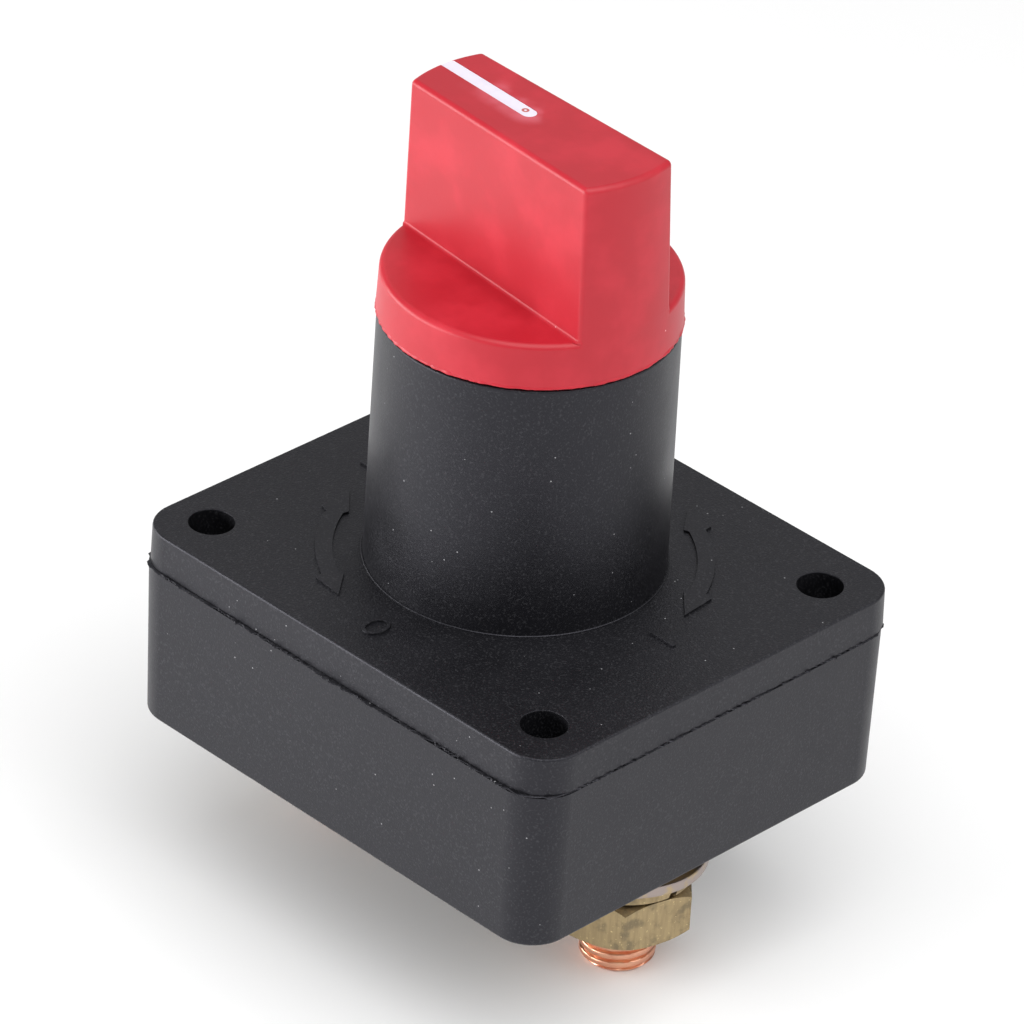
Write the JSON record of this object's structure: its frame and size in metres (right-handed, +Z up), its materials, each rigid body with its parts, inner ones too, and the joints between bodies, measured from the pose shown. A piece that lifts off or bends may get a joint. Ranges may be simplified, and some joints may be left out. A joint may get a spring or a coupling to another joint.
{
  "type": "battery switch",
  "caption": "Battery switch with a square case on two threaded terminal studs, a tall round neck and a wedge-shaped knob that turns a quarter turn and lifts a sprung contact bridge.",
  "frame": {"origin": "centre of the base's flat underside, on the knob's axis; the terminal studs reach below it", "axes": "+Z up along the knob's axis, from the base to the knob; +X along the case's long side and through both terminal studs; +Y along the short side"},
  "size_m": [0.073, 0.0634, 0.1109],
  "materials": {
    "case_plastic": "fine-grained black moulding",
    "knob_plastic": "satin red moulding",
    "pointer_white": "white filled line",
    "natural_nylon": "unpigmented nylon",
    "seal_rubber": "nitrile",
    "steel": "bright zinc plate",
    "brass": "bright machined brass, slightly tarnished",
    "plated_brass": "pale stamped brass",
    "copper": null
  },
  "bodies": {
    "housing": {"base": "case_plastic", "upper_housing": "case_plastic", "thrust_washer": "natural_nylon", "contact_spring": "steel", "right_terminal_stud": "copper", "right_inner_nut": "brass", "right_flat_washer": "plated_brass", "right_lock_washer": "brass", "right_outer_nut": "brass", "left_terminal_stud": "copper", "left_inner_nut": "brass", "left_flat_washer": "plated_brass", "left_lock_washer": "brass", "left_outer_nut": "brass"},
    "rotor": {"knob": "knob_plastic", "knob_pointer": "pointer_white", "spindle": "steel", "spindle_o_ring": "seal_rubber", "knob_screw": "steel", "cam_pin": "steel"},
    "carrier": {"contact_carrier": "natural_nylon", "contact_bridge": "copper", "bridge_rivet": "copper"}
  },
  "joints": [
    {"name": "knob_turn", "type": "hinge", "parent": "housing", "child": "rotor", "pos_m": [0, 0, 0.0623], "axis": [0, 0, 1], "range_deg": [0, 90]},
    {"name": "carrier_lift", "type": "slide", "parent": "housing", "child": "carrier", "axis": [0, 0, 1], "range_m": [0, 0.004], "deforming": ["contact_spring"]}
  ],
  "couplings": [
    {"joint": "knob_turn", "follows": "carrier_lift", "rad_per_m": 392.7}
  ]
}
